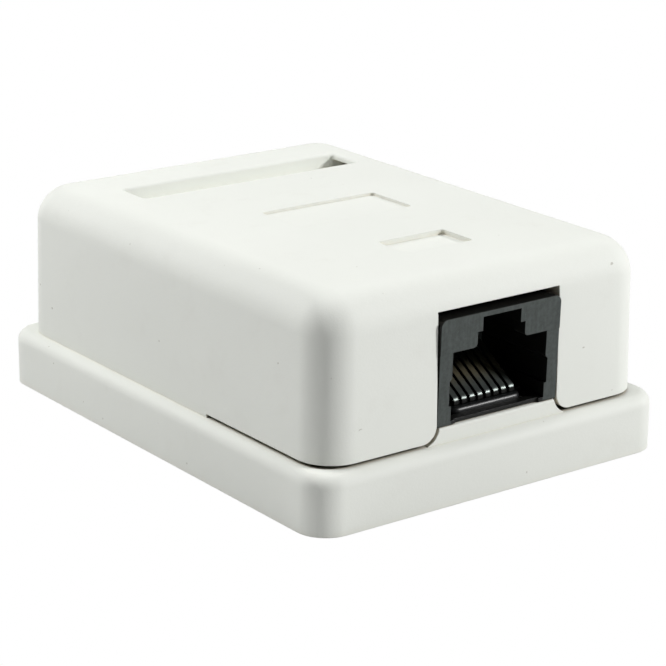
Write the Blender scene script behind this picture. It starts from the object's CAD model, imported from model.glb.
# %% [markdown]
# A surface mount jack box: an off-white two-part moulding with one black network jack in its end face.
# The solids already have every main form, so this lesson is about finish: satin plastic that is not
# quite even, a black socket that shows its depth, dull plated contacts, a printed board under the
# cover, and soft studio light that lets white plastic read as a shape.

# %% Load the frame
import math

import bpy
from mathutils import Matrix, Vector


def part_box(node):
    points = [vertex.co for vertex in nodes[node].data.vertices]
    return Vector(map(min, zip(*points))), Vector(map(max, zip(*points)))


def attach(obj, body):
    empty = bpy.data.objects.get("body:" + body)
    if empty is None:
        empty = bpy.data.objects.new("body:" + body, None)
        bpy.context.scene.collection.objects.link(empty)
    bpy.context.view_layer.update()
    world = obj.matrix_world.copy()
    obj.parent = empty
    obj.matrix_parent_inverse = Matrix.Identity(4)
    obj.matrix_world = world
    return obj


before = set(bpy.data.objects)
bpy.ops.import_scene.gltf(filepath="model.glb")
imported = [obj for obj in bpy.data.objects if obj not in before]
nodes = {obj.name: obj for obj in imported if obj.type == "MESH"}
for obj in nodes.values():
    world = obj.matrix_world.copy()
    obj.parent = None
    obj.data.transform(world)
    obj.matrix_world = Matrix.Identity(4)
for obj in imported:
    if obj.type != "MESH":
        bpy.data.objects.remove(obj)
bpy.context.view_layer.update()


# %% [markdown]
# Node trees are easier to read as sums than as wires. This small class wraps a node's output, so that
# `a * 0.3 + b` adds the Math nodes for us. Every other node comes from `Graph.node`, which takes the
# node's type, its settings and what goes into its sockets. Shaders, the world and the geometry trees
# all use it.

# %% Sockets that add up
class Socket:
    """One output of a node, which can be used in sums."""

    def __init__(self, graph, link):
        self.graph = graph
        self.link = link

    def _math(self, operation, first, second):
        return self.graph.node("ShaderNodeMath", {"operation": operation}, {0: first, 1: second})

    def __add__(self, other):
        return self._math("ADD", self, other)

    def __sub__(self, other):
        return self._math("SUBTRACT", self, other)

    def __rsub__(self, other):
        return self._math("SUBTRACT", other, self)

    def __mul__(self, other):
        return self._math("MULTIPLY", self, other)

    def __gt__(self, other):
        return self._math("GREATER_THAN", self, other)

    def __lt__(self, other):
        return self._math("LESS_THAN", self, other)

    __radd__ = __add__
    __rmul__ = __mul__


class Graph:
    """A node tree of any kind, emptied and ready to be filled."""

    def __init__(self, tree):
        self.tree = tree
        tree.nodes.clear()

    def node(self, kind, settings=None, sockets=None, out=0):
        made = self.tree.nodes.new(kind)
        for key, value in (settings or {}).items():
            setattr(made, key, value)
        for key, value in (sockets or {}).items():
            if isinstance(value, Socket):
                self.tree.links.new(value.link, made.inputs[key])
            else:
                made.inputs[key].default_value = value
        return Socket(self, made.outputs[out]) if len(made.outputs) else None


class Shader(Graph):
    """The tree of a new material, with the few patterns that all the materials share."""

    def __init__(self, name):
        self.material = bpy.data.materials.new(name)
        self.material.use_nodes = True
        super().__init__(self.material.node_tree)
        self.place = self.node("ShaderNodeTexCoord", out="Object")
        self.facing = self.node("ShaderNodeTexCoord", out="Normal")

    def axis(self, vector, letter):
        return self.node("ShaderNodeSeparateXYZ", None, {"Vector": vector}, out=letter)

    def noise(self, scale, detail=2.0, roughness=0.5, stretch=None):
        at = self.place
        if stretch:
            at = self.node("ShaderNodeMapping", None, {"Vector": at, "Scale": stretch})
        return self.node("ShaderNodeTexNoise", None, {
            "Vector": at, "Scale": scale, "Detail": detail, "Roughness": roughness})

    def ramp(self, value, low, high):
        return self.node("ShaderNodeMapRange", {"interpolation_type": "SMOOTHSTEP"}, {
            "Value": value, "From Min": low, "From Max": high})

    def mix(self, mask, first, second):
        return self.node("ShaderNodeMix", {"data_type": "RGBA"}, {0: mask, 6: first, 7: second}, out=2)

    def crevice(self, reach, deep, open_sky):
        """1 in the bottom of a narrow gap, 0 on an open face."""
        sky = self.node("ShaderNodeAmbientOcclusion", {"samples": 8}, {"Distance": reach}, out="AO")
        return 1 - self.ramp(sky, deep, open_sky)

    def surface(self, height, depth, strength, edge, **sockets):
        """Principled surface with fine relief and edges that look rounded by the given radius."""
        bevel = self.node("ShaderNodeBevel", {"samples": 6}, {"Radius": edge})
        relief = {"Height": height, "Distance": depth, "Strength": strength, "Normal": bevel}
        names = {key.replace("_", " ").title().replace("Ior", "IOR"): value for key, value in sockets.items()}
        names["Normal"] = self.node("ShaderNodeBump", None, relief)
        self.node("ShaderNodeOutputMaterial", None, {
            "Surface": self.node("ShaderNodeBsdfPrincipled", None, names)})
        return self.material


def tone(red, green, blue):
    """A colour written as 0 to 255 steps, turned into the linear values that light is reckoned in."""
    def one(v):
        v = v / 255
        return v / 12.92 if v <= 0.04045 else ((v + 0.055) / 1.055) ** 2.4
    return (one(red), one(green), one(blue), 1)


print("helpers ready")


# %% [markdown]
# The shell is moulded in off-white ABS with a very fine satin texture. Real mouldings are never one
# flat colour: the sheen wanders a little, the surface has faint handling marks, and a few dark specks
# sit in the plastic. Narrow gaps and the bottoms of recesses hold a trace of brownish dust.

# %% Shell plastic
def shell_plastic():
    s = Shader("shell_plastic")
    cloud = s.noise(60, 3, 0.55)
    smudge = s.ramp(s.noise(210, 4, 0.6), 0.55, 0.8)
    speck = s.ramp(s.noise(1500, 0, 0.0), 0.876, 0.89)
    base = s.mix(cloud, tone(228, 230, 224), tone(232, 234, 228))
    base = s.mix(smudge * 0.25, base, tone(219, 219, 212))
    base = s.mix(speck * 0.5, base, tone(150, 145, 130))
    base = s.mix(s.crevice(0.0022, 0.3, 0.62) * 0.6, base, tone(226, 214, 190))
    base = s.mix(s.crevice(0.0016, 0.04, 0.3) * 0.9, base, tone(50, 44, 32))
    rough = 0.56 + cloud * 0.08 + smudge * 0.1
    return s.surface(s.noise(5000, 3, 0.6), 0.00002, 0.6, 0.00012,
                     base_color=base, roughness=rough, specular_ior_level=0.25)


SHELL = shell_plastic()
print(SHELL.name)


# %% [markdown]
# The jack is black polyester. Its outer face comes from an etched tool, so it scatters light and looks
# blue-grey, while every other side of it is smooth and stays black. The carrier is from a polished
# tool, so its rounded nose carries a soft bright line.

# %% Black plastics
FOOT_HEIGHT = 0.0004  # the smooth bar under the plug cavity
FOOT_HALF_WIDTH = 0.0059


def etched_face(name):
    s = Shader(name)
    low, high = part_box("jack_housing")
    board_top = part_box("circuit_board")[1][2]
    x, z = s.axis(s.place, "X"), s.axis(s.place, "Z")
    off_middle = s.node("ShaderNodeMath", {"operation": "ABSOLUTE"}, {0: x - (low[0] + high[0]) / 2})
    foot = (z < board_top + FOOT_HEIGHT) * (off_middle < FOOT_HALF_WIDTH)
    face = (s.axis(s.facing, "Y") < -0.9) * (1 - foot)
    mottle = s.noise(2600, 3, 0.7)
    streak = s.noise(1, 2, 0.5, (2800, 2800, 350))
    worn = s.ramp(mottle * 0.6 + streak * 0.4, 0.3, 0.7)
    base = s.mix(face, tone(13, 14, 12), s.mix(worn, tone(57, 62, 60), tone(73, 79, 77)))
    return s.surface(mottle, 0.00001, 0.5, 0.00006,
                     base_color=base, roughness=0.42 + face * 0.2, specular_ior_level=0.35)


def moulded(name, colour, roughness, grain_depth, edge=0.00006):
    s = Shader(name)
    cloud = s.noise(300, 3, 0.6)
    base = s.mix(cloud, tone(*[0.92 * c for c in colour]), tone(*colour))
    return s.surface(s.noise(7000, 3, 0.6), grain_depth, 0.6, edge,
                     base_color=base, roughness=roughness + cloud * 0.12)


JACK_BLACK = etched_face("jack_black")
CARRIER_BLACK = moulded("carrier_black", (12, 15, 16), 0.33, 0.000002)
BLOCK_WHITE = moulded("block_white", (222, 222, 214), 0.4, 0.000006)
print(JACK_BLACK.name, CARRIER_BLACK.name, BLOCK_WHITE.name)


# %% Metals
TIP_LENGTH = 0.0006     # bright part of a contact
DULL_FULL = 0.0026
DARK_FROM, DARK_FULL = 0.0022, 0.0046


def plated(name, bright, dull, roughness, scale):
    s = Shader(name)
    tarnish = s.ramp(s.noise(scale, 4, 0.6), 0.35, 0.75)
    return s.surface(s.noise(scale * 12), 0.000004, 0.4, 0.00005,
                     base_color=s.mix(tarnish, tone(*bright), tone(*dull)),
                     roughness=roughness + tarnish * 0.15, metallic=1.0)


def contact_plating(name):
    """Bright plating where the plug touches, dull alloy further back."""
    s = Shader(name)
    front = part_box("jack_contact_1")[0][1]
    back = s.axis(s.place, "Y")
    depth = s.ramp(back, front + TIP_LENGTH, front + DULL_FULL)
    tarnish = s.noise(1800, 3, 0.6)
    bright = s.mix(tarnish, tone(110, 118, 116), tone(88, 93, 89))
    dull = s.mix(tarnish, tone(98, 92, 70), tone(70, 64, 48))
    base = s.mix(depth, bright, dull)
    base = s.mix(s.ramp(back, front + DARK_FROM, front + DARK_FULL), base, tone(34, 31, 24))
    upward = s.ramp(s.axis(s.facing, "Z"), 0.2, 0.75)
    base = s.mix(upward, tone(30, 31, 30), base)
    return s.surface(s.noise(9000), 0.000003, 0.4, 0.00016,
                     base_color=base, roughness=0.36 + depth * 0.14, metallic=0.8 - depth * 0.2)


CONTACT_GOLD = contact_plating("contact_gold")
CLIP_TIN = plated("clip_tin", (214, 214, 208), (170, 168, 160), 0.32, 700)
SCREW_ZINC = plated("screw_zinc", (206, 208, 208), (170, 168, 156), 0.3, 500)
SOLDER = plated("solder_tin", (190, 192, 190), (150, 150, 146), 0.25, 1500)
print(CONTACT_GOLD.name, CLIP_TIN.name, SCREW_ZINC.name, SOLDER.name)


# %% [markdown]
# The board is green solder resist over a glass weave. Copper under the resist shows as a lighter
# green, and the printed ink is a thin dull white.

# %% Board, copper under resist, and inks
def resist(name, dark, light, edge):
    s = Shader(name)
    weave = s.node("ShaderNodeTexWave", {"wave_type": "BANDS", "bands_direction": "DIAGONAL"}, {
        "Vector": s.place, "Scale": 900, "Distortion": 0.4, "Detail": 1.0})
    cloud = s.noise(120, 3, 0.6)
    return s.surface(weave, 0.000008, 0.3, edge,
                     base_color=s.mix(cloud, tone(*dark), tone(*light)), roughness=0.28 + cloud * 0.1)


def painted(name):
    """Ink whose colour is stored on each mark."""
    s = Shader(name)
    ink = s.node("ShaderNodeAttribute", {"attribute_name": "ink"}, out="Color")
    thin = s.ramp(s.noise(5000, 3, 0.7), 0.25, 0.5)
    base = s.mix(thin, s.mix(0.25, ink, tone(150, 150, 140)), ink)
    return s.surface(s.noise(9000), 0.000002, 0.4, 0.00003, base_color=base, roughness=0.55 - thin * 0.1)


BOARD_GREEN = resist("board_laminate", (22, 84, 48), (28, 98, 58), 0.00008)
COPPER_GREEN = resist("copper_under_resist", (44, 118, 66), (58, 134, 78), 0.00002)
INK = painted("printed_ink")

looks = {"base": SHELL, "cover": SHELL, "circuit_board": BOARD_GREEN, "board_screws": SCREW_ZINC,
         "jack_housing": JACK_BLACK, "jack_contact_carrier": CARRIER_BLACK,
         "idc_block_left": BLOCK_WHITE, "idc_block_right": BLOCK_WHITE}
for name, obj in nodes.items():
    look = looks.get(name) or (CONTACT_GOLD if name.startswith("jack_contact") else CLIP_TIN)
    obj.data.materials.clear()
    obj.data.materials.append(look)
print(len(nodes), "solids dressed")


# %% [markdown]
# Geometry trees do the repeated work. `geometry_tree` opens one with named inputs, and `grow` runs it
# on a starting mesh and keeps the result as a plain mesh, so nothing is left to evaluate later.

# %% Helpers for geometry trees
def geometry_tree(name, **inputs):
    """A tree with a geometry input and one named number for each of the inputs given."""
    tree = bpy.data.node_groups.new(name, "GeometryNodeTree")
    graph = Graph(tree)
    graph.keys = {}
    tree.interface.new_socket("Geometry", in_out="INPUT", socket_type="NodeSocketGeometry")
    tree.interface.new_socket("Geometry", in_out="OUTPUT", socket_type="NodeSocketGeometry")
    for key, value in inputs.items():
        socket = tree.interface.new_socket(key, in_out="INPUT", socket_type="NodeSocketFloat")
        socket.default_value = value
        graph.keys[key] = socket.identifier
    graph.given = {item.name: Socket(graph, item)
                   for item in tree.nodes.new("NodeGroupInput").outputs if item.name}
    return graph


def close_tree(graph, geometry, material=None):
    """Send the geometry out, as real meshes of one material if there is one."""
    if material:
        geometry = graph.node("GeometryNodeRealizeInstances", None, {"Geometry": geometry})
        geometry = graph.node("GeometryNodeSetMaterial", None, {"Geometry": geometry, "Material": material})
    graph.node("NodeGroupOutput", None, {"Geometry": geometry})


def grow(name, mesh, graph, slot, **inputs):
    """Run a geometry tree on a mesh and keep what it made as a plain piece of the box."""
    seed = bpy.data.objects.new("seed", mesh)
    bpy.context.collection.objects.link(seed)
    modifier = seed.modifiers.new("grow", "NODES")
    modifier.node_group = graph.tree
    for key, value in inputs.items():
        modifier[graph.keys[key]] = value
    depsgraph = bpy.context.evaluated_depsgraph_get()
    made = bpy.data.meshes.new_from_object(seed.evaluated_get(depsgraph), preserve_all_data_layers=True,
                                           depsgraph=depsgraph)
    bpy.data.objects.remove(seed)
    made.name = name
    piece = bpy.data.objects.new(name, made)
    bpy.context.collection.objects.link(piece)
    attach(piece, "box")
    print(name, len(made.polygons), "faces")


# %% [markdown]
# The solids come as loose triangles, so a rounded edge would show its facets. Welding the corners
# and smoothing every edge flatter than 30 degrees fixes that without moving a point.

# %% Smooth the rounded edges
smooth = geometry_tree("weld_and_smooth", smooth_below=math.radians(30))
solid = smooth.node("GeometryNodeMergeByDistance", None, {
    "Geometry": smooth.given["Geometry"], "Distance": 1e-6})
solid = smooth.node("GeometryNodeSetShadeSmooth", {"domain": "FACE"}, {"Geometry": solid})
angle = smooth.node("GeometryNodeInputMeshEdgeAngle", out="Unsigned Angle")
sharp = smooth.node("FunctionNodeCompare", {"operation": "GREATER_THAN"}, {
    0: angle, 1: smooth.given["smooth_below"]})
solid = smooth.node("GeometryNodeSetShadeSmooth", {"domain": "EDGE"}, {
    "Geometry": solid, "Selection": sharp, "Shade Smooth": False})
close_tree(smooth, solid)
for obj in nodes.values():
    obj.modifiers.new("weld_and_smooth", "NODES").node_group = smooth.tree
print("smoothed", len(nodes))


# %% [markdown]
# Eight copper tracks run back from the jack and fan out to the wire clips, four on each side of the
# access hole, and the outermost track goes to the nearest clip so that none cross. A thin printed line
# goes round each block. Both are polylines given a flat section.

# %% Copper tracks and printed outlines
def polylines(name, runs):
    """Mesh of bare edges, one chain for each run of points. A run of one point is just that point."""
    mesh = bpy.data.meshes.new(name)
    points, edges = [], []
    for run in runs:
        edges += [(len(points) + i, len(points) + i + 1) for i in range(len(run) - 1)]
        points += run
    mesh.from_pydata(points, edges, [])
    return mesh


def store_ink(mesh, colours):
    """Give each point of a mesh the colour that the ink material reads."""
    layer = mesh.attributes.new("ink", "FLOAT_COLOR", "POINT")
    for item, colour in zip(layer.data, colours):
        item.color = colour


def strip_tree(name, material):
    """Lines become flat strips that lie on the board."""
    graph = geometry_tree(name, width=0.0003, thickness=0.00004)
    line = graph.node("GeometryNodeMeshToCurve", None, {"Mesh": graph.given["Geometry"]})
    line = graph.node("GeometryNodeSetCurveNormal", {"mode": "Z_UP"}, {"Curve": line})
    section = graph.node("GeometryNodeCurvePrimitiveQuadrilateral", None, {
        "Width": graph.given["width"], "Height": graph.given["thickness"]})
    strip = graph.node("GeometryNodeCurveToMesh", None, {
        "Curve": line, "Profile Curve": section, "Fill Caps": True})
    close_tree(graph, strip, material)
    return graph


PRINT_WHITE = tone(226, 228, 222)
LANES = [0.0048, 0.0053, 0.0058, 0.0063]
LANE_EXIT = 0.0006          # a track leaves its lane at 45 degrees, this far from the clip's row
START_BEFORE_JACK = 0.0012  # tracks begin under the jack
RUN_OUT = 0.0016            # and go straight back this far
OUTLINE_GAP = 0.0004        # printed line to block

board_low, board_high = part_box("circuit_board")
top = board_high[2]
jack_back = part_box("jack_housing")[1][1]
clips = [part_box("idc_clip_%d" % (i + 1)) for i in range(8)]
clip_places = [((low[0] + high[0]) / 2, (low[1] + high[1]) / 2) for low, high in clips]
tails = [sum(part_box("jack_contact_%d" % (i + 1))[k][0] for k in (0, 1)) / 2 for i in range(8)]

runs = []
for i, (clip_x, clip_y) in enumerate(clip_places):
    side = -1 if clip_x < 0 else 1
    lane = side * LANES[3 - i % 4]
    tail = tails[i] if side < 0 else tails[11 - i]
    start = jack_back - START_BEFORE_JACK
    bend = start + RUN_OUT
    runs.append([(tail, start, top), (tail, bend, top), (lane, bend + abs(lane - tail), top),
                 (lane, clip_y - LANE_EXIT, top), (lane + side * LANE_EXIT, clip_y, top),
                 (clip_x, clip_y, top)])
grow("copper_tracks", polylines("tracks", runs), strip_tree("flat_tracks", COPPER_GREEN), "board",
     width=0.00032, thickness=0.00007)

outlines = []
for name in ("idc_block_left", "idc_block_right"):
    low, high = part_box(name)
    x0, y0 = low[0] - OUTLINE_GAP, low[1] - OUTLINE_GAP
    x1, y1 = high[0] + OUTLINE_GAP, high[1] + OUTLINE_GAP
    outlines.append([(x0, y0, top), (x1, y0, top), (x1, y1, top), (x0, y1, top), (x0, y0, top)])
outline_mesh = polylines("outlines", outlines)
store_ink(outline_mesh, [PRINT_WHITE] * len(outline_mesh.vertices))
grow("printed_outlines", outline_mesh, strip_tree("ink_lines", INK), "board", width=0.0002, thickness=0.00004)


# %% [markdown]
# Where the tracks start, plated holes carry the jack's signals up through the board. Each one is a
# flat ring with a low dome of solder in it.

# %% Soldered holes
RING = 0.00042         # radius of the plated ring
BLOB_SHARE = 0.72      # of that radius is covered by solder
DOME = 0.00014         # height of the solder
HOLE_BACK = 0.0004     # hole to the end of a track's straight start
HOLE_STAGGER = 0.0009  # between the two rows of holes


def solder_tree():
    graph = geometry_tree("solder_joints", ring=RING, dome=DOME)
    ring = graph.node("GeometryNodeMeshCylinder", None, {
        "Vertices": 28, "Radius": graph.given["ring"], "Depth": 0.00008})
    blob = graph.node("GeometryNodeMeshUVSphere", None, {
        "Segments": 24, "Rings": 12, "Radius": graph.given["ring"] * BLOB_SHARE})
    flat = graph.node("ShaderNodeCombineXYZ", None, {
        "X": 1.0, "Y": 1.0, "Z": graph.given["dome"] * (1 / (RING * BLOB_SHARE))})
    blob = graph.node("GeometryNodeTransform", None, {"Geometry": blob, "Scale": flat})
    blob = graph.node("GeometryNodeSetShadeSmooth", None, {"Geometry": blob})
    joint = graph.node("GeometryNodeJoinGeometry", None, {"Geometry": ring})
    graph.tree.links.new(blob.link, joint.link.node.inputs["Geometry"])
    placed = graph.node("GeometryNodeInstanceOnPoints", None, {
        "Points": graph.given["Geometry"], "Instance": joint})
    close_tree(graph, placed, SOLDER)
    return graph


holes = [[(run[1][0], run[1][1] - HOLE_BACK + HOLE_STAGGER * (i % 2), top)] for i, run in enumerate(runs)]
grow("soldered_holes", polylines("hole_points", holes), solder_tree(), "clip_metal", ring=RING, dome=DOME)


# %% [markdown]
# Each clip's wire colour is printed on the outer side of its block, striped ones as a white mark with
# a coloured band, and its number is printed beside it on the board.

# %% Wire colour marks
MARK_WIDTH, MARK_HEIGHT = 0.0024, 0.0018
MARK_ABOVE_BOARD = 0.0028
BAND_SHARE = 0.36    # of a striped mark's height
BAND_LIFT = 0.00002  # keeps the band in front of its white mark
WIRES = [(40, 92, 168), (214, 116, 36), (44, 132, 68), (112, 72, 44)]
WHITE = (232, 232, 226)


def mark_tree():
    graph = geometry_tree("colour_marks", corner=0.0002, proud=0.00006)
    sheet = graph.node("GeometryNodeCurvePrimitiveQuadrilateral", None, {
        "Width": MARK_WIDTH, "Height": MARK_HEIGHT})
    sheet = graph.node("GeometryNodeFilletCurve", {"mode": "POLY"}, {
        "Curve": sheet, "Radius": graph.given["corner"], "Count": 4})
    sheet = graph.node("GeometryNodeFillCurve", {"mode": "NGONS"}, {"Curve": sheet})
    sheet = graph.node("GeometryNodeTransform", None, {
        "Geometry": sheet, "Rotation": (math.pi / 2, 0, math.pi / 2)})
    sheet = graph.node("GeometryNodeExtrudeMesh", {"mode": "FACES"}, {
        "Mesh": sheet, "Offset Scale": graph.given["proud"]})
    size = graph.node("GeometryNodeInputNamedAttribute", {"data_type": "FLOAT_VECTOR"}, {"Name": "size"})
    placed = graph.node("GeometryNodeInstanceOnPoints", None, {
        "Points": graph.given["Geometry"], "Instance": sheet, "Scale": size})
    close_tree(graph, placed, INK)
    return graph


def block_wall(side):
    """Place in X of the outer face of a block, on the left (-1) or the right (1)."""
    low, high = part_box("idc_block_left" if side < 0 else "idc_block_right")
    return low[0] if side < 0 else high[0]


mark_points, mark_inks, mark_sizes = [], [], []
for i, (clip_x, clip_y) in enumerate(clip_places):
    side = -1 if clip_x < 0 else 1
    wall = block_wall(side)
    colour = WIRES[i // 2]
    z = top + MARK_ABOVE_BOARD
    mark_points.append((wall, clip_y, z))
    mark_inks.append(tone(*(WHITE if i % 2 == 0 else colour)))
    mark_sizes.append((side, 1.0, 1.0))
    if i % 2 == 0:
        mark_points.append((wall + side * BAND_LIFT, clip_y, z))
        mark_inks.append(tone(*colour))
        mark_sizes.append((side, 1.0, BAND_SHARE))
mark_mesh = polylines("mark_points", [[p] for p in mark_points])
store_ink(mark_mesh, mark_inks)
sizes = mark_mesh.attributes.new("size", "FLOAT_VECTOR", "POINT")
for item, value in zip(sizes.data, mark_sizes):
    item.vector = value
grow("wire_colour_marks", mark_mesh, mark_tree(), "idc_plastic", corner=0.0002, proud=0.00006)


# %% Numbers on the board
for i, (clip_x, clip_y) in enumerate(clip_places):
    side = -1 if clip_x < 0 else 1
    text = bpy.data.curves.new("number", "FONT")
    text.body = str(i + 1)
    text.size = 0.0019
    text.extrude = 0.00002
    text.align_x = text.align_y = "CENTER"
    holder = bpy.data.objects.new("number", text)
    bpy.context.collection.objects.link(holder)
    edge = board_low[0] if side < 0 else board_high[0]
    mesh = bpy.data.meshes.new_from_object(holder)
    mesh.transform(Matrix.Translation(((edge + block_wall(side)) / 2, clip_y, top)))
    bpy.data.objects.remove(holder)
    store_ink(mesh, [PRINT_WHITE] * len(mesh.vertices))
    mesh.materials.clear()
    mesh.materials.append(INK)
    number = bpy.data.objects.new("board_number_%d" % (i + 1), mesh)
    bpy.context.collection.objects.link(number)
    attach(number, "box")
print("eight numbers")


# %% [markdown]
# A studio backdrop should be white to the eye and dim to the light: the world shows white to the
# camera, while the box is lit only by the lamps. A pale floor catches the shadow and sends light up.

# %% Backdrop
def backdrop_world(seen, lit):
    """Strengths of the white that the camera sees and of the light that falls on the box."""
    world = bpy.data.worlds.new("studio")
    world.use_nodes = True
    g = Graph(world.node_tree)
    direct = g.node("ShaderNodeLightPath", out="Is Camera Ray")
    through = g.node("ShaderNodeLightPath", out="Is Transmission Ray")
    show = g.node("ShaderNodeMath", {"operation": "MAXIMUM"}, {0: direct, 1: through})
    shade = g.node("ShaderNodeBackground", None, {"Strength": show * (seen - lit) + lit})
    g.node("ShaderNodeOutputWorld", None, {"Surface": shade})
    bpy.context.scene.world = world


def floor_sheet(half, level):
    mesh = bpy.data.meshes.new("floor")
    corners = [(x * half, y * half, level) for x, y in ((-1, -1), (1, -1), (1, 1), (-1, 1))]
    mesh.from_pydata(corners, [], [(0, 1, 2, 3)])
    floor = bpy.data.objects.new("floor", mesh)
    bpy.context.collection.objects.link(floor)
    s = Shader("floor_white")
    direct = s.node("ShaderNodeLightPath", out="Is Camera Ray")
    paper = s.node("ShaderNodeBsdfDiffuse", None, {"Color": (0.72, 0.72, 0.72, 1)})
    white = s.node("ShaderNodeEmission")
    shade = s.node("ShaderNodeMixShader", None, {0: direct, 1: paper, 2: white})
    s.node("ShaderNodeOutputMaterial", None, {"Surface": shade})
    mesh.materials.append(s.material)


backdrop_world(1.0, 0.04)
floor_sheet(2.0, -0.0002)
print("backdrop ready")


# %% Lamps
def soft_lamp(name, bearing, height, distance, size, power):
    """Square lamp aimed at the box. Bearing is in degrees from +X towards +Y, height above the floor."""
    data = bpy.data.lights.new(name, "AREA")
    data.size = size
    data.energy = power
    a, e = math.radians(bearing), math.radians(height)
    towards = Vector((math.cos(a) * math.cos(e), math.sin(a) * math.cos(e), math.sin(e)))
    lamp = bpy.data.objects.new(name, data)
    lamp.location = Vector((0, 0, 0.01)) + towards * distance
    lamp.rotation_euler = (-towards).to_track_quat("-Z", "Y").to_euler()
    bpy.context.collection.objects.link(lamp)


soft_lamp("behind_left", 130, 42, 0.32, 0.2, 0.8)
soft_lamp("front_right", 312, 27, 0.5, 0.07, 1.85)
soft_lamp("overhead", 0, 90, 0.6, 0.4, 1.36)
print("three lamps")


# %% [markdown]
# The camera stands to the left of the port and a little above, with a long lens from close by.

# %% Camera
SENSOR = 36
PICTURE = 666
LENS = 2394.56 * SENSOR / PICTURE
AZIMUTH, ELEVATION, ROLL = (math.radians(v) for v in (-37.0612, 18.1472, 0.6276))
DISTANCE = 0.2202564
AIM = Vector((-0.0189092, -0.02763, 0.0195026))  # on the cover's front face

camera_data = bpy.data.cameras.new("camera")
camera_data.lens = LENS
camera_data.sensor_width = SENSOR
camera_data.shift_x = -5.0625 / PICTURE
camera_data.shift_y = 2.0039 / PICTURE
camera_data.clip_start = 0.01
camera = bpy.data.objects.new("camera", camera_data)
back = Vector((math.sin(AZIMUTH) * math.cos(ELEVATION), -math.cos(AZIMUTH) * math.cos(ELEVATION),
               math.sin(ELEVATION)))
right = (-back).cross(Vector((0, 0, 1))).normalized()
up = right.cross(-back)
turned_right = right * math.cos(ROLL) + up * math.sin(ROLL)
turned_up = up * math.cos(ROLL) - right * math.sin(ROLL)
turn = Matrix((turned_right, turned_up, back)).transposed()
camera.matrix_world = Matrix.Translation(AIM + back * DISTANCE) @ turn.to_4x4()
bpy.context.collection.objects.link(camera)
bpy.context.scene.camera = camera
bpy.context.scene.view_settings.view_transform = "Standard"
print("lens", round(LENS, 1), "mm")
